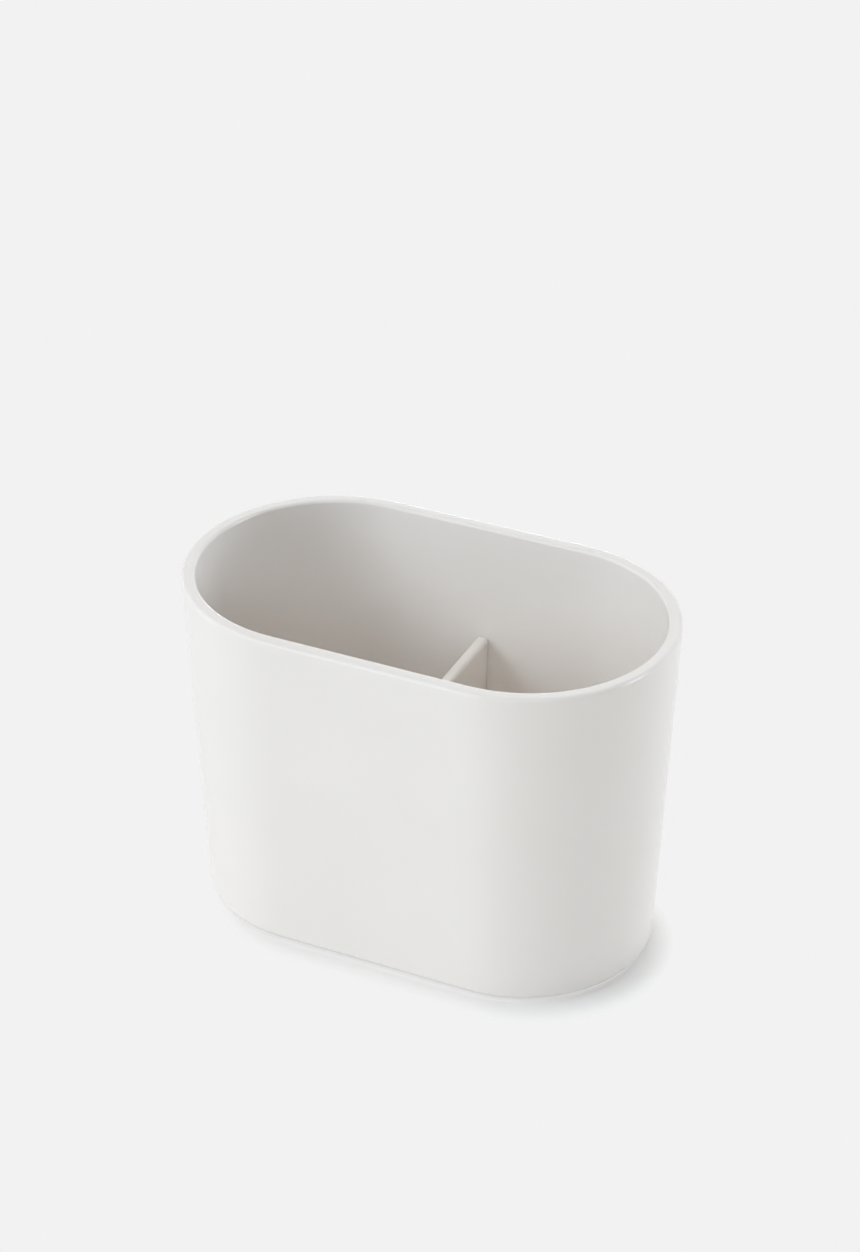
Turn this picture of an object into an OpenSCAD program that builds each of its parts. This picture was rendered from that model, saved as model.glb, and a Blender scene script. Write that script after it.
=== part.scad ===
// Free-standing bathroom holder: a moulded racetrack cup, a drop-in divider that makes two
// compartments of it, and a soft non-slip ring pressed into the underside.
// Origin: centre of the footprint on the counter. +X along the cup, +Z up. Millimetres.

/* [Cup] */
// Length over the rim
cup_length = 127; // [110:1:160]
// Width over the rim, which is also the diameter of the round ends
cup_width = 75; // [64:1:90]
// Height of the rim above the counter
holder_height = 91; // [75:0.5:110]
// Slope of the walls in degrees, narrowing from the rim to the base
draft = 2.7; // [1:0.1:4]
// Thickness of the side wall, measured level
wall_thickness = 3.4; // [2.6:0.1:4.5]
// Thickness of the floor
floor_thickness = 4; // [3:0.5:6]

/* [Cup edges] */
// Radius along the outside of the rim
rim_outer_radius = 1.1; // [0.5:0.1:1.2]
// Radius along the inside of the rim
rim_inner_radius = 0.9; // [0.5:0.1:1.2]
// Radius round the bottom edge of the cup
base_radius = 1.5; // [0.8:0.1:2.5]
// Radius inside the cup, where the floor turns up into the wall
floor_radius = 5; // [3:0.5:8]

/* [Divider] */
// Thickness of the plate
divider_thickness = 3.1; // [2.6:0.1:4.2]
// Height of the plate, from the cup's floor to its top edge
divider_height = 55.6; // [45:0.2:64]
// Radius along both sides of the plate's top edge
divider_top_radius = 1; // [0.6:0.1:1.2]
// Radius at the two ends of the top edge
divider_corner_radius = 0.3; // [0.1:0.1:0.5]
// Extra radius of the lower corners over the curve at the foot of the wall
divider_foot_relief = 1; // [0.5:0.5:3]
// Radius along the plate's other edges
divider_edge_radius = 0.5; // [0.2:0.1:1]
// Gap between the plate's upright edges and the wall
divider_gap = 0.3; // [0.2:0.05:0.8]

/* [Guides] */
// Height of the guides above the cup's floor
guide_height = 34; // [20:1:38]
// How far a guide stands out from the wall
guide_depth = 2.4; // [1.5:0.1:3.5]
// Thickness of one guide
guide_thickness = 1.8; // [1.2:0.1:2.5]
// Play between the plate and a guide, on each side
guide_play = 0.3; // [0.2:0.05:0.4]

/* [Non-slip ring] */
// Width of the ring
ring_width = 5; // [3:0.5:8]
// Thickness of the ring
ring_thickness = 2; // [1.6:0.1:2.6]
// How far the ring stands out below the cup
ring_proud = 0.4; // [0.3:0.1:1.2]
// Distance from the cup's foot outline in to the ring
ring_inset = 3; // [2.8:0.1:6]
// Radius along the ring's two lower edges
ring_edge_radius = 0.4; // [0.2:0.05:0.6]
// Play on each side of the ring in its groove
ring_play = 0.1; // [0.05:0.05:0.2]

/* [Hidden] */
$fn = 64;
// Sides of the round corners that are hulled together
corner_sides = 32;
// Length by which a cut or a joined piece runs past the face that it meets
overrun = 1;
// Half the length of the straight stretch between the two round ends
half_straight = (cup_length - cup_width) / 2;
underside_z = ring_proud;
floor_z = ring_proud + floor_thickness;
divider_foot_radius = floor_radius + divider_foot_relief;

// Distance of the outer and inner wall faces from the line that joins the end centres
function outer_face(z) = cup_width / 2 - (holder_height - z) * tan(draft);
function inner_face(z) = outer_face(z) - wall_thickness;
ring_outer = outer_face(underside_z) - ring_inset;
ring_inner = ring_outer - ring_width;

// A corner at p whose edges leave it along the unit vectors u and v, rounded with radius r:
// the point on u where the arc starts, and the centre of the arc
function unit(v) = v / norm(v);
function half_angle(u, v) = acos(u * v) / 2;
function arc_start(p, u, v, r) = p + u * r / tan(half_angle(u, v));
function arc_centre(p, u, v, r) = p + unit(u + v) * r / sin(half_angle(u, v));

// A convex outline with its corners rounded by true arcs, each with its own radius
module rounded_outline(points, radii) {
    last = len(points) - 1;
    ahead = [for (i = [0:last]) unit(points[i == last ? 0 : i + 1] - points[i])];
    behind = [for (i = [0:last]) unit(points[i == 0 ? last : i - 1] - points[i])];
    polygon([for (i = [0:last]) each radii[i] == 0 ? [points[i]] : [
        arc_start(points[i], behind[i], ahead[i], radii[i]),
        arc_start(points[i], ahead[i], behind[i], radii[i])]]);
    for (i = [0:last])
        if (radii[i] > 0)
            translate(arc_centre(points[i], behind[i], ahead[i], radii[i])) circle(radii[i]);
}

// What is cut away to round an outer corner of a larger outline
module corner_trim(p, u, v, r) {
    difference() {
        polygon([
            arc_centre(p, u, v, r), arc_start(p, u, v, r),
            p - (u + v) * overrun, arc_start(p, v, u, r)]);
        translate(arc_centre(p, u, v, r)) circle(r);
    }
}

// Carries an outline round the racetrack. The outline's X is the distance from the line that
// joins the end centres and its Y is the height.
module racetrack() {
    for (end = [0, 1])
        mirror([end, 0, 0])
            translate([half_straight, 0, 0]) rotate([0, 0, -90]) rotate_extrude(angle = 180) children();
    rotate([90, 0, 90])
        linear_extrude(2 * half_straight, center = true) {
            children();
            mirror([1, 0, 0]) children();
        }
}

// Half section of the cup: wall and floor in one moulding, with the ring's groove below
module cup_section() {
    rim_corner = [inner_face(holder_height), holder_height];
    down_the_wall = unit([inner_face(floor_z), floor_z] - rim_corner);
    mouth_z = holder_height + overrun;
    difference() {
        rounded_outline(
            [[0, underside_z], [outer_face(underside_z), underside_z],
                [cup_width / 2, holder_height], [0, holder_height]],
            [0, base_radius, rim_outer_radius, 0]);
        rounded_outline(
            [[-overrun, floor_z], [inner_face(floor_z), floor_z],
                [inner_face(mouth_z), mouth_z], [-overrun, mouth_z]],
            [0, floor_radius, 0, 0]);
        corner_trim(rim_corner, [1, 0], down_the_wall, rim_inner_radius);
        translate([ring_inner - ring_play, underside_z - overrun])
            square([ring_width + 2 * ring_play, ring_thickness - ring_proud + overrun]);
    }
}

// One guide: an upright rib on the wall whose top slopes back into it, so that the plate finds
// its way between two of them
module guide() {
    top_z = floor_z + guide_height;
    shoulder_z = top_z - guide_depth;
    root_z = floor_z - overrun;
    rotate([90, 0, 90])
        linear_extrude(guide_thickness)
            polygon([
                [inner_face(root_z) + overrun, root_z],
                [inner_face(top_z) + overrun, top_z],
                [inner_face(top_z), top_z],
                [inner_face(shoulder_z) - guide_depth, shoulder_z],
                [inner_face(root_z) - guide_depth, root_z]]);
}

module cup() {
    color("whitesmoke") {
        racetrack() cup_section();
        for (side = [0, 1], face = [0, 1])
            mirror([side, 0, 0]) mirror([0, face, 0])
                translate([divider_thickness / 2 + guide_play, 0, 0]) guide();
    }
}

// A disc about the Z axis, with both of its rims rounded. The cut keeps a small disc on one side
// of its own axis.
module rounded_disc(radius, thickness, edge) {
    rotate_extrude($fn = corner_sides)
        intersection() {
            translate([0, -thickness / 2]) square([radius, thickness]);
            rounded_outline(
                [[0, -thickness / 2], [radius, -thickness / 2], [radius, thickness / 2], [0, thickness / 2]],
                [0, edge, edge, 0]);
        }
}

// The plate is the hull of two discs on edge, which round its lower corners, and of two rods,
// which round its top edge. Its upright edges run beside the wall, at the same draft.
module divider() {
    foot_z = floor_z + divider_foot_radius;
    foot_y = inner_face(foot_z) - (divider_gap + divider_foot_radius) / cos(draft);
    top_z = floor_z + divider_height;
    rod_end = inner_face(top_z - 2 * divider_top_radius) - divider_gap / cos(draft);
    color("white")
        hull() {
            for (face = [0, 1])
                mirror([0, face, 0])
                    translate([0, foot_y, foot_z]) rotate([0, 90, 0])
                        rounded_disc(divider_foot_radius, divider_thickness, divider_edge_radius);
            for (side = [0, 1])
                mirror([side, 0, 0])
                    translate([divider_thickness / 2 - divider_top_radius, 0, top_z - divider_top_radius])
                        rotate([90, 0, 0])
                            rounded_disc(divider_top_radius, 2 * rod_end, divider_corner_radius);
        }
}

module foot_ring() {
    color("silver")
        racetrack()
            rounded_outline(
                [[ring_inner, 0], [ring_outer, 0],
                    [ring_outer, ring_thickness], [ring_inner, ring_thickness]],
                [ring_edge_radius, ring_edge_radius, 0, 0]);
}

cup();
divider();
foot_ring();
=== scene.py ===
"""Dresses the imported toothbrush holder: a moulded cup, its lift-out divider and its non-slip ring."""
import math

import bmesh
import bpy
import numpy as np
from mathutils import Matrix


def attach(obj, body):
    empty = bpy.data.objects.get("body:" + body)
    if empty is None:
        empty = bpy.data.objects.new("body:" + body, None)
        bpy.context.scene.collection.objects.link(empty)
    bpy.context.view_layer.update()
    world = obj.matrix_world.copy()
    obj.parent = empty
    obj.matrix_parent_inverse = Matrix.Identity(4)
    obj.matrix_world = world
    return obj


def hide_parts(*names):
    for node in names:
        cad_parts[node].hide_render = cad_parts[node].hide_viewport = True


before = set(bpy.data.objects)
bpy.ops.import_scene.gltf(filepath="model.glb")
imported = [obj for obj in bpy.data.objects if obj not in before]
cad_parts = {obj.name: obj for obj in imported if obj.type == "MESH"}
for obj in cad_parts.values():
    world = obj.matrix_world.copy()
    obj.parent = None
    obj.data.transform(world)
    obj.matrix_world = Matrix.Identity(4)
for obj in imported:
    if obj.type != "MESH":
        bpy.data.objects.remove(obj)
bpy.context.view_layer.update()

# Cup

# The cup is one injection moulding in white ABS: a flat floor, a drafted wall that follows a
# racetrack outline, and a rim rounded on both sides. Four low ribs on the straight walls guide
# the divider, and a groove underneath takes the non-slip ring.

# Every length is in millimetres, and MM turns it to metres.
MM = 0.001
CUP_LENGTH, CUP_WIDTH, HOLDER_HEIGHT = 127.0, 75.0, 91.0
DRAFT = math.radians(2.7)
WALL, FLOOR = 3.4, 4.0
RIM_OUTER_RADIUS, RIM_INNER_RADIUS = 1.1, 0.9
BASE_RADIUS, FLOOR_RADIUS = 1.5, 5.0
RING_WIDTH, RING_THICKNESS, RING_PROUD, RING_INSET, RING_PLAY = 5.0, 2.0, 0.4, 3.0, 0.1
DIVIDER_THICKNESS = 3.1
GUIDE_HEIGHT, GUIDE_DEPTH, GUIDE_THICKNESS, GUIDE_PLAY = 34.0, 2.4, 1.8, 0.3
GUIDE_EDGE_RADIUS, GUIDE_FOOT_RADIUS, GUIDE_LEAN = 0.25, 0.15, 0.03
HALF_STRAIGHT = (CUP_LENGTH - CUP_WIDTH) / 2
UNDERSIDE_Z = RING_PROUD
FLOOR_Z = RING_PROUD + FLOOR
GUIDE_TOP_Z = FLOOR_Z + GUIDE_HEIGHT


def outer_face(z):
    """Distance of the outer wall from the line that joins the end centres: half the width, less the
    depth under the rim times the tangent of the draft."""
    return CUP_WIDTH / 2 - (HOLDER_HEIGHT - z) * math.tan(DRAFT)


def inner_face(z):
    """Distance of the inner wall from the same line: the outer wall's, less the wall."""
    return outer_face(z) - WALL


RING_OUTER = outer_face(UNDERSIDE_Z) - RING_INSET
RING_INNER = RING_OUTER - RING_WIDTH

# Corners of the cup's section, each as (distance from the line of end centres, height)
FOOT = (outer_face(UNDERSIDE_Z), UNDERSIDE_Z)
RIM_OUT, RIM_IN = (CUP_WIDTH / 2, HOLDER_HEIGHT), (inner_face(HOLDER_HEIGHT), HOLDER_HEIGHT)
INNER_FOOT = (inner_face(FLOOR_Z), FLOOR_Z)

# Steps of the mesh round the section's arcs, down its straights, and along the racetrack. The wall
# has one more row SLOPE_MARGIN beyond each end of the guides' sloped tops, to keep the slope crisp.
ARC_STEPS, FLOOR_ARC_STEPS, GUIDE_ARC_STEPS = 12, 24, 5
OUTER_WALL_STEPS, RIM_STEPS, INNER_WALL_STEPS, FLAT_STEPS = 20, 2, 12, 8
ROUND_END_STEPS, STRAIGHT_STEPS = 96, 26
SLOPE_MARGIN = 0.01


def rounded(before, corner, after, radius, steps):
    """An arc that rounds a corner: its centre lies on the bisector, radius / sin(half angle) from the
    corner, and its points turn evenly from the edge that arrives to the edge that leaves."""
    before, corner, after = (np.array(p, float) for p in (before, corner, after))
    u = (before - corner) / np.linalg.norm(before - corner)
    v = (after - corner) / np.linalg.norm(after - corner)
    half = math.acos(float(np.clip(u @ v, -1, 1))) / 2
    centre = corner + (u + v) / np.linalg.norm(u + v) * radius / math.sin(half)
    first = corner + u * radius / math.tan(half) - centre
    last = corner + v * radius / math.tan(half) - centre
    turn = math.acos(float(np.clip(first @ last / radius**2, -1, 1)))
    t = np.linspace(0, 1, steps + 1)[:, None]
    return centre + (np.sin((1 - t) * turn) * first + np.sin(t * turn) * last) / math.sin(turn)


def straight(start, end, steps):
    """Points between two ends, evenly spaced, without the ends themselves."""
    t = np.linspace(0, 1, steps + 1)[1:-1, None]
    return np.array(start, float) * (1 - t) + np.array(end, float) * t


def outer_section():
    """Half the cup's section from the middle of the underside, past the ring's groove, up the outside
    and over the rim, with every corner's arc tangent to its edges."""
    middle = (0, UNDERSIDE_Z)
    near, far = RING_INNER - RING_PLAY, RING_OUTER + RING_PLAY
    groove_top = UNDERSIDE_Z + RING_THICKNESS - RING_PROUD
    groove = [(near, UNDERSIDE_Z), (near, groove_top), (far, groove_top), (far, UNDERSIDE_Z)]
    base_arc = rounded(middle, FOOT, RIM_OUT, BASE_RADIUS, ARC_STEPS)
    outer_arc = rounded(FOOT, RIM_OUT, RIM_IN, RIM_OUTER_RADIUS, ARC_STEPS)
    inner_arc = rounded(RIM_OUT, RIM_IN, INNER_FOOT, RIM_INNER_RADIUS, ARC_STEPS)
    return np.vstack([
        [middle], straight(middle, groove[0], FLAT_STEPS), groove,
        base_arc, straight(base_arc[-1], outer_arc[0], OUTER_WALL_STEPS), outer_arc,
        straight(outer_arc[-1], inner_arc[0], RIM_STEPS), inner_arc])


def inner_section(start):
    """The rest of the section, from the rim's last point down the inside, past the guides' sloped tops
    and the curve at the foot of the wall, and over the floor to its middle."""
    middle = (0, FLOOR_Z)
    slope = np.linspace(GUIDE_TOP_Z, GUIDE_TOP_Z - GUIDE_DEPTH, FLAT_STEPS + 1)
    levels = np.array([slope[0] + SLOPE_MARGIN, *slope, slope[-1] - SLOPE_MARGIN])
    guide_rows = np.column_stack((inner_face(levels), levels))
    floor_arc = rounded(RIM_IN, INNER_FOOT, middle, FLOOR_RADIUS, FLOOR_ARC_STEPS)
    return np.vstack([
        straight(start, guide_rows[0], INNER_WALL_STEPS), guide_rows,
        straight(guide_rows[-1], floor_arc[0], FLAT_STEPS), floor_arc,
        straight(floor_arc[-1], middle, FLAT_STEPS), [middle]])


def guide_outline():
    """Across one guide: x from the middle of the cup, and how far it stands out from the wall. Its sides
    lean in, and small arcs round the corners at the wall and along its two outer edges."""
    near = DIVIDER_THICKNESS / 2 + GUIDE_PLAY
    far = near + GUIDE_THICKNESS
    path = [(near - GUIDE_THICKNESS, 0), (near, 0), (near + GUIDE_LEAN, GUIDE_DEPTH),
            (far - GUIDE_LEAN, GUIDE_DEPTH), (far, 0), (far + GUIDE_THICKNESS, 0)]
    radii = [GUIDE_FOOT_RADIUS, GUIDE_EDGE_RADIUS, GUIDE_EDGE_RADIUS, GUIDE_FOOT_RADIUS]
    return np.vstack([rounded(*path[i:i + 3], radius, GUIDE_ARC_STEPS) for i, radius in enumerate(radii)])


def lap_positions(marks):
    """Where the columns of a racetrack stand, as (centre x, turn in degrees). Along the front the turn
    is -90 and x steps on, with columns at the given marks too, and round the right end x holds still
    while the turn goes on to 90. The other half of the lap is the same, turned by 180 degrees."""
    x = np.unique(np.concatenate([np.linspace(-HALF_STRAIGHT, HALF_STRAIGHT, STRAIGHT_STEPS + 1), marks]))
    turn = np.linspace(-90, 90, ROUND_END_STEPS + 1)[1:-1]
    front = np.column_stack((x, np.full(x.size, -90.0)))
    right = np.column_stack((np.full(turn.size, HALF_STRAIGHT), turn))
    half_lap = np.vstack([front, right])
    return np.vstack([half_lap, half_lap * (-1, 1) + (0, 180)])


def guide_push(section, columns):
    """How far each point of the inside moves off the wall: the guide's outline at its column, at most the
    height left under the guide's sloped top, less what the floor's curve already has, and at least 0."""
    outline = guide_outline()
    x, turn = np.abs(columns).T
    rise = np.where(turn == 90, np.interp(x, outline[:, 0], outline[:, 1]), 0.0)
    r, z = section[:, :1], section[:, 1:]
    depth = np.clip(GUIDE_TOP_Z - z, 0, GUIDE_DEPTH)
    return np.maximum(r - inner_face(z) + np.minimum(rise, depth), 0.0)


def racetrack_grid(section, columns, push=0.0):
    """Carries a section round the racetrack: a point at distance r and height z goes to
    (centre x + r cos turn, r sin turn, z). push, one row for each section point, is taken off r."""
    r = section[:, :1] - push
    turn = np.radians(columns[:, 1])
    x = columns[:, 0] + r * np.cos(turn)
    y = r * np.sin(turn)
    z = np.broadcast_to(section[:, 1:], x.shape)
    return np.stack((x, y, z), axis=-1)


MERGE_DISTANCE, SHORTEST_EDGE, CREASE_ANGLE = 1e-4 * MM, 1e-5 * MM, math.radians(35)


def surface(name, grid, closed=False):
    """A piece from a grid of points in millimetres: neighbours in rows and columns make quads, columns
    close on themselves, and rows too where closed is true. Points that coincide are merged."""
    rows, cols = grid.shape[:2]
    index = np.arange(rows * cols).reshape(rows, cols)
    above, below = (index, np.roll(index, -1, axis=0)) if closed else (index[:-1], index[1:])
    quads = np.stack((above, np.roll(above, -1, axis=1), np.roll(below, -1, axis=1), below), axis=-1)
    mesh = bpy.data.meshes.new(name)
    mesh.from_pydata((grid.reshape(-1, 3) * MM).tolist(), [], quads.reshape(-1, 4).tolist())
    work = bmesh.new()
    work.from_mesh(mesh)
    bmesh.ops.remove_doubles(work, verts=work.verts, dist=MERGE_DISTANCE)
    bmesh.ops.dissolve_degenerate(work, edges=work.edges, dist=SHORTEST_EDGE)
    bmesh.ops.recalc_face_normals(work, faces=work.faces)
    work.to_mesh(mesh)
    work.free()
    mesh.polygons.foreach_set("use_smooth", np.ones(len(mesh.polygons), bool))
    mesh.set_sharp_from_angle(angle=CREASE_ANGLE)
    piece = bpy.data.objects.new(name, mesh)
    bpy.context.scene.collection.objects.link(piece)
    shading = piece.modifiers.new("even shading", "WEIGHTED_NORMAL")
    shading.keep_sharp = True
    return piece


guide_marks = guide_outline()[:, 0]
columns = lap_positions(np.concatenate([guide_marks, -guide_marks]))
outside = outer_section()
inside = inner_section(outside[-1])
cup = surface("cup_moulding", np.concatenate([
    racetrack_grid(outside, columns), racetrack_grid(inside, columns, guide_push(inside, columns))]))


def linear(hex_colour):
    """An sRGB hex colour as linear RGBA: c / 12.92 up to 0.04045, ((c + 0.055) / 1.055) ^ 2.4 above it."""
    c = np.array([int(hex_colour[i:i + 2], 16) for i in (1, 3, 5)]) / 255
    return (*np.where(c <= 0.04045, c / 12.92, ((c + 0.055) / 1.055) ** 2.4), 1.0)


def emptied(owner):
    """The node tree of a material or a world, without its default nodes."""
    owner.use_nodes = True
    owner.node_tree.nodes.clear()
    return owner.node_tree


def add(tree, kind, inputs=None, **settings):
    """Adds one node: settings go on the node, and each input is linked where its value is a socket and
    set where it isn't."""
    node = tree.nodes.new("ShaderNode" + kind)
    for name, value in settings.items():
        setattr(node, name, value)
    for name, value in (inputs or {}).items():
        if isinstance(value, bpy.types.NodeSocket):
            tree.links.new(value, node.inputs[name])
        else:
            node.inputs[name].default_value = value
    return node


ABS_PALE, ABS_DEEP = "#F4EDE6", "#F2EBE3"
CUP_ROUGHNESS, ROUGHNESS_DRIFT, POLYMER_IOR = 0.22, 0.02, 1.5
ABS_GRAIN, ABS_GRAIN_STRENGTH, GRAIN_HEIGHT = 0.3, 0.25, 0.02
DRIFT_WIDTH, DRIFT_LOW, DRIFT_HIGH = 30, 0.3, 0.7


def moulded_polymer(tree, tone, pale, deep, roughness, grain, grain_strength):
    """The shader of a moulding. Its colour goes from deep to pale as the tone goes from 0 to 1, and the
    tool's grain, GRAIN_HEIGHT high, bends its gloss with the given strength."""
    colour = add(tree, "Mix", {"Factor": tone}, data_type="RGBA")
    colour.inputs["A"].default_value = linear(deep)
    colour.inputs["B"].default_value = linear(pale)
    bump = add(tree, "Bump", {"Strength": grain_strength, "Distance": GRAIN_HEIGHT * MM, "Height": grain})
    shader = add(tree, "BsdfPrincipled", {
        "Base Color": colour.outputs["Result"], "Roughness": roughness, "IOR": POLYMER_IOR,
        "Normal": bump.outputs["Normal"]})
    add(tree, "OutputMaterial", {"Surface": shader.outputs["BSDF"]})


def satin_abs(name, roughness):
    """White ABS from a spark-eroded tool. To the eye it is a clean warm white with a soft, wide gloss
    and bright edges, and a grain that breaks the gloss up only from close by."""
    material = bpy.data.materials.new(name)
    tree = emptied(material)
    place = add(tree, "TexCoord").outputs["Object"]
    # The tool's grain is finer than this in truth, and is drawn as coarse as it needs to show close by.
    # The drift is the slow change of colour and gloss along a moulding, from how the melt flowed.
    grain = add(tree, "TexNoise", {
        "Vector": place, "Scale": 1 / (ABS_GRAIN * MM), "Detail": 2.0, "Roughness": 0.6})
    drift = add(tree, "TexNoise", {
        "Vector": place, "Scale": 1 / (DRIFT_WIDTH * MM), "Detail": 3.0, "Roughness": 0.5})
    span = {"Value": drift.outputs["Fac"], "From Min": DRIFT_LOW, "From Max": DRIFT_HIGH}
    tone = add(tree, "MapRange", span)
    gloss = add(tree, "MapRange", span | {
        "To Min": roughness - ROUGHNESS_DRIFT, "To Max": roughness + ROUGHNESS_DRIFT})
    moulded_polymer(tree, tone.outputs["Result"], ABS_PALE, ABS_DEEP, gloss.outputs["Result"],
                    grain.outputs["Fac"], ABS_GRAIN_STRENGTH)
    return material


cup.data.materials.append(satin_abs("satin_white_abs", CUP_ROUGHNESS))
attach(cup, "cup")
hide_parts("cup")

# Divider

# The divider is a flat ABS plate with a rounded top edge. It drops between the guides,
# stands on the floor and lifts out for washing. Its upright edges follow the draft of the wall.
DIVIDER_HEIGHT, DIVIDER_GAP = 55.6, 0.3
DIVIDER_TOP_RADIUS, DIVIDER_CORNER_RADIUS = 1.0, 0.3
DIVIDER_FOOT_RELIEF, DIVIDER_EDGE_RADIUS = 1.0, 0.5
DIVIDER_FOOT_RADIUS = FLOOR_RADIUS + DIVIDER_FOOT_RELIEF
DIVIDER_ROUGHNESS = 0.32

# Rows over a rounded edge, points round a corner, and steps from a face's border to its middle
EDGE_ROWS, CORNER_POINTS, FACE_STEPS = 9, 17, 6


def plate_grid():
    """The plate's skin: rings of four corner arcs, from one face over the edges to the other. With e the
    radius of an edge, the ring draws in by e (1 - sin t) while x goes out to the face by e cos t. In x,
    e goes from the edge radius to the top radius with the squared sine of the ring's angle above level.
    Each face closes in even steps onto the upright line through its middle."""
    foot_z, top_z = FLOOR_Z + DIVIDER_FOOT_RADIUS, FLOOR_Z + DIVIDER_HEIGHT
    foot_y = inner_face(foot_z) - (DIVIDER_GAP + DIVIDER_FOOT_RADIUS) / math.cos(DRAFT)
    end_y = inner_face(top_z - 2 * DIVIDER_TOP_RADIUS) - DIVIDER_GAP / math.cos(DRAFT)
    quarter = np.linspace(0, 90, EDGE_ROWS)
    t = np.radians(np.concatenate([quarter, quarter[::-1]]))[:, None]
    side = np.repeat([-1.0, 1.0], EDGE_ROWS)[:, None]
    # The ring's corners come in the order lower right, upper right, upper left and lower left.
    tilt = math.degrees(DRAFT)
    turns = [np.linspace(-90, -tilt, CORNER_POINTS), np.linspace(-tilt, 90, CORNER_POINTS)]
    right_half = np.radians(np.concatenate(turns))
    angle = np.concatenate([right_half, math.pi - right_half[::-1]])
    lower = np.repeat([True, False, False, True], CORNER_POINTS)
    hand = np.repeat([1.0, 1.0, -1.0, -1.0], CORNER_POINTS)
    drop = 1 - np.sin(t)
    centre_y = np.where(lower, foot_y, end_y - DIVIDER_EDGE_RADIUS * drop - DIVIDER_CORNER_RADIUS) * hand
    centre_z = np.where(lower, foot_z, top_z - DIVIDER_TOP_RADIUS * drop - DIVIDER_CORNER_RADIUS)
    radius = np.where(lower, DIVIDER_FOOT_RADIUS - DIVIDER_EDGE_RADIUS * drop, DIVIDER_CORNER_RADIUS)
    edge = np.stack((centre_y + radius * np.cos(angle), centre_z + radius * np.sin(angle)), axis=-1)
    e = DIVIDER_EDGE_RADIUS + (DIVIDER_TOP_RADIUS - DIVIDER_EDGE_RADIUS) * np.clip(np.sin(angle), 0, 1) ** 2
    half = DIVIDER_THICKNESS / 2
    edge_x = side * (half - e + e * np.cos(t))
    border = edge[0]
    spine = np.column_stack((np.zeros(angle.size), np.clip(border[:, 1], foot_z, border[~lower, 1].min())))
    face = spine + np.linspace(0, 1, FACE_STEPS + 1)[:-1, None, None] * (border - spine)
    x = np.concatenate([np.full(face.shape[:2], -half), edge_x, np.full(face.shape[:2], half)])
    return np.concatenate([x[..., None], np.concatenate([face, edge, face[::-1]])], axis=-1)


divider = surface("divider_plate", plate_grid())
divider.data.materials.append(satin_abs("satin_white_abs_divider", DIVIDER_ROUGHNESS))
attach(divider, "divider")
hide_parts("divider")

# Non-slip ring

# The ring is moulded in grey thermoplastic elastomer and pressed into the groove in the
# underside. It stands 0.4 mm proud, so the cup seems to float on a thin dark line.
RING_EDGE_RADIUS, RING_ARC_STEPS = 0.4, 6
ELASTOMER_PALE, ELASTOMER_DEEP = "#D2D2D0", "#C6C6C4"
ELASTOMER_SMOOTH, ELASTOMER_DULL = 0.7, 0.85
ELASTOMER_MOTTLE, ELASTOMER_GRAIN, ELASTOMER_GRAIN_STRENGTH = 2, 0.2, 0.3


def ring_section():
    """A rectangle, closed on itself, with its two lower corners rounded."""
    low_in, low_out = (RING_INNER, 0), (RING_OUTER, 0)
    top_out, top_in = (RING_OUTER, RING_THICKNESS), (RING_INNER, RING_THICKNESS)
    inner_arc = rounded(top_in, low_in, low_out, RING_EDGE_RADIUS, RING_ARC_STEPS)
    outer_arc = rounded(low_in, low_out, top_out, RING_EDGE_RADIUS, RING_ARC_STEPS)
    return np.vstack([inner_arc, outer_arc, [top_out], [top_in]])


def elastomer(name):
    """Thermoplastic elastomer. To the eye it is a dull grey with a faint dusty mottle and hardly any
    gloss."""
    material = bpy.data.materials.new(name)
    tree = emptied(material)
    place = add(tree, "TexCoord").outputs["Object"]
    mottle = add(tree, "TexNoise", {"Vector": place, "Scale": 1 / (ELASTOMER_MOTTLE * MM), "Detail": 4.0})
    grain = add(tree, "TexNoise", {"Vector": place, "Scale": 1 / (ELASTOMER_GRAIN * MM), "Detail": 2.0})
    tone = mottle.outputs["Fac"]
    gloss = add(tree, "MapRange", {"Value": tone, "To Min": ELASTOMER_SMOOTH, "To Max": ELASTOMER_DULL})
    moulded_polymer(tree, tone, ELASTOMER_PALE, ELASTOMER_DEEP, gloss.outputs["Result"],
                    grain.outputs["Fac"], ELASTOMER_GRAIN_STRENGTH)
    return material


ring = surface("non_slip_ring", racetrack_grid(ring_section(), lap_positions([])), closed=True)
ring.data.materials.append(elastomer("grey_elastomer"))
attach(ring, "cup")
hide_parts("foot_ring")

# Counter

# A wide matt white counter, so pale that only a narrow contact shadow round the base shows where it
# lies. The camera and reflections see the lit paint in that band and the backdrop's colour beyond it.
# It lies a hair below the ring, so that the two faces don't share a plane.
PAINT, BACKDROP = "#FBF7F2", "#F2F2F2"
COUNTER_REACH, COUNTER_Z = 6000.0, -0.02
SHADOW_MOVE, SHADOW_BAND = (6.2, -4.8), (-4.8, 2.1)
# A share of the backdrop's colour is painted over the contact shadow right at the foot, on the left and
# front: painted light that pales the shadow the lamps leave there.
CONTACT_PAINTED_LIGHT, PAINTED_LIGHT_MOVE, PAINTED_LIGHT_BAND = 0.5, (-1.2, -0.3), (0.0, 1.2)

counter_corners = np.array([(-1, -1, 0), (1, -1, 0), (1, 1, 0), (-1, 1, 0)]) * COUNTER_REACH
counter_corners[:, 2] = COUNTER_Z
counter_mesh = bpy.data.meshes.new("counter")
counter_mesh.from_pydata((counter_corners * MM).tolist(), [], [(0, 1, 2, 3)])
counter = bpy.data.objects.new("counter", counter_mesh)
bpy.context.scene.collection.objects.link(counter)


def seen_rays(tree):
    """1 for rays that show a surface (camera, glossy or transmission rays), and 0 for all others."""
    path = add(tree, "LightPath").outputs
    seen = add(tree, "Math", {0: path["Is Camera Ray"], 1: path["Is Glossy Ray"]}, operation="MAXIMUM")
    seen = add(tree, "Math", {0: seen.outputs[0], 1: path["Is Transmission Ray"]}, operation="MAXIMUM")
    return seen.outputs[0]


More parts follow.
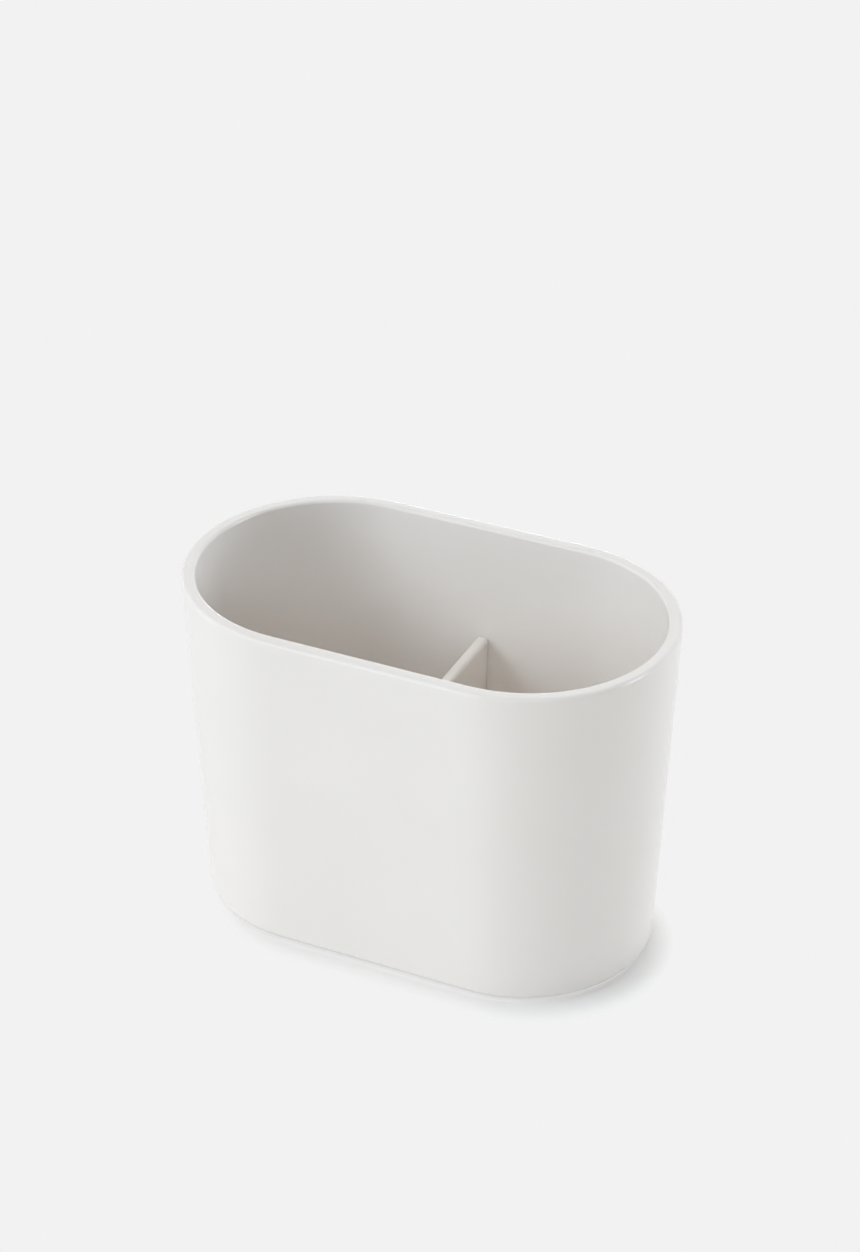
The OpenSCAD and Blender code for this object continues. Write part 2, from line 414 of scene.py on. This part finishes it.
def foot_fade(tree, move, band, near, far):
    """near up to the band's first distance from the cup's foot outline, far beyond its second, and
    smoothstep between. The outline is moved by (x, y), and the distance from it is the length of
    (|x| less half the straight, not below 0; y) less the radius of the outline's ends."""
    place = add(tree, "TexCoord").outputs["Object"]
    place = add(tree, "VectorMath", {0: place, 1: (move[0] * MM, move[1] * MM, 0.0)}, operation="SUBTRACT")
    place = add(tree, "SeparateXYZ", {"Vector": place.outputs["Vector"]})
    along = add(tree, "Math", {0: place.outputs["X"]}, operation="ABSOLUTE")
    along = add(tree, "Math", {0: along.outputs[0], 1: HALF_STRAIGHT * MM}, operation="SUBTRACT")
    along = add(tree, "Math", {0: along.outputs[0], 1: 0.0}, operation="MAXIMUM")
    away = add(tree, "CombineXYZ", {"X": along.outputs[0], "Y": place.outputs["Y"]})
    away = add(tree, "VectorMath", {0: away.outputs["Vector"]}, operation="LENGTH")
    away = add(tree, "Math", {0: away.outputs["Value"], 1: FOOT[0] * MM}, operation="SUBTRACT")
    fade = add(tree, "MapRange", {
        "Value": away.outputs[0], "From Min": band[0] * MM, "From Max": band[1] * MM,
        "To Min": near, "To Max": far}, interpolation_type="SMOOTHSTEP")
    return fade.outputs["Result"]


def plainness(tree):
    """How much of the backdrop's colour the counter shows: all of it away from the shadow, which falls to
    the front right, and a part right at the foot on the lighter sides, left and front, where it is painted
    light that pales the contact shadow."""
    beyond = foot_fade(tree, SHADOW_MOVE, SHADOW_BAND, 0.0, 1.0)
    # Painted light: the backdrop's colour pales the contact shadow at the foot on the left and front.
    contact = foot_fade(tree, PAINTED_LIGHT_MOVE, PAINTED_LIGHT_BAND, CONTACT_PAINTED_LIGHT, 0.0)
    return add(tree, "Math", {0: beyond, 1: contact}, operation="MAXIMUM").outputs[0]


def matt_paint(name):
    """Matt white paint. To the eye it has no gloss at all. Light other than the seen rays finds plain
    paint everywhere, so it bounces back onto the holder as from a real counter."""
    material = bpy.data.materials.new(name)
    tree = emptied(material)
    paint = add(tree, "BsdfDiffuse", {"Color": linear(PAINT)})
    backdrop = add(tree, "Emission", {"Color": linear(BACKDROP), "Strength": 1.0})
    plain = add(tree, "Math", {0: seen_rays(tree), 1: plainness(tree)}, operation="MULTIPLY")
    mix = add(tree, "MixShader", {0: plain.outputs[0], 1: paint.outputs[0], 2: backdrop.outputs[0]})
    add(tree, "OutputMaterial", {"Surface": mix.outputs[0]})
    return material


counter_mesh.materials.append(matt_paint("matt_white_counter"))

# Light

# Cool, soft daylight comes in from all sides, most of it from the left and the right rear, as from
# windows and the pale walls of a room, and a warmer light comes down from the ceiling. The camera and
# reflections see the room in the backdrop's colour.
DAYLIGHT, CEILING_LIGHT = "#E9F4FF", "#FFF6EA"

scene = bpy.context.scene
scene.view_settings.view_transform = "Standard"
world = bpy.data.worlds.new("pale_room")
scene.world = world
room = emptied(world)
dark = add(room, "Background", {"Strength": 0.0})
backdrop = add(room, "Background", {"Color": linear(BACKDROP), "Strength": 1.0})
both = add(room, "MixShader", {0: seen_rays(room), 1: dark.outputs[0], 2: backdrop.outputs[0]})
add(room, "OutputWorld", {"Surface": both.outputs[0]})


def far_light(name, turn, lift, strength, colour=DAYLIGHT, spread=40, gloss_only=False):
    """A far soft light, spread degrees across. It shines from a compass turn (0 is +X, anticlockwise)
    and a lift above the counter, in degrees. It lights surfaces, or else it only shows in their gloss."""
    lamp = bpy.data.lights.new(name, "SUN")
    lamp.angle = math.radians(spread)
    lamp.color = linear(colour)[:3]
    lamp.energy = strength
    holder = bpy.data.objects.new(name, lamp)
    holder.rotation_euler = (math.radians(90 - lift), 0, math.radians(turn + 90))
    holder.visible_glossy, holder.visible_diffuse = gloss_only, not gloss_only
    scene.collection.objects.link(holder)


far_light("left_window", 210, 35, 1.48)
far_light("front_left_wall", 240, 12, 0.86)
far_light("front_right_window", 300, 35, 0.85)
far_light("right_wall", 30, 12, 0.70)
far_light("right_rear_wall", 60, 12, 1.44)
far_light("rear_window", 90, 35, 0.68)
far_light("rear_ceiling", 135, 60, 0.40, CEILING_LIGHT)
far_light("ceiling", 0, 90, 0.42, CEILING_LIGHT)
# Three bright panes show only in the gloss: they draw the fine bright lines along the rim's edges.
far_light("low_rear_pane", 110, 3, 0.22, spread=12, gloss_only=True)
far_light("front_left_pane", 249, 5, 0.20, spread=15, gloss_only=True)
far_light("right_pane", 14, 11, 1.00, spread=15, gloss_only=True)

# Camera

# The view is from the front right and above, with a long lens. The aim and the distance come from
# fitting the cup's own outline to the frame of 860 by 1252.
FRAME_LONG_SIDE, FOCAL_PIXELS, SENSOR_WIDTH = 1252, 3330.8, 36.0
AIM = np.array([-24.45, 52.49, 45.7])
VIEW_TURN, VIEW_LIFT, VIEW_DISTANCE = math.radians(25.137), math.radians(31.543), 882.93

lens = bpy.data.cameras.new("view")
lens.sensor_width = SENSOR_WIDTH
lens.lens = FOCAL_PIXELS / FRAME_LONG_SIDE * SENSOR_WIDTH
level = math.cos(VIEW_LIFT)
back = np.array([math.sin(VIEW_TURN) * level, -math.cos(VIEW_TURN) * level, math.sin(VIEW_LIFT)])
view = bpy.data.objects.new("view", lens)
view.location = (AIM + back * VIEW_DISTANCE) * MM
view.rotation_euler = (math.pi / 2 - VIEW_LIFT, 0, VIEW_TURN)
scene.collection.objects.link(view)
scene.camera = view
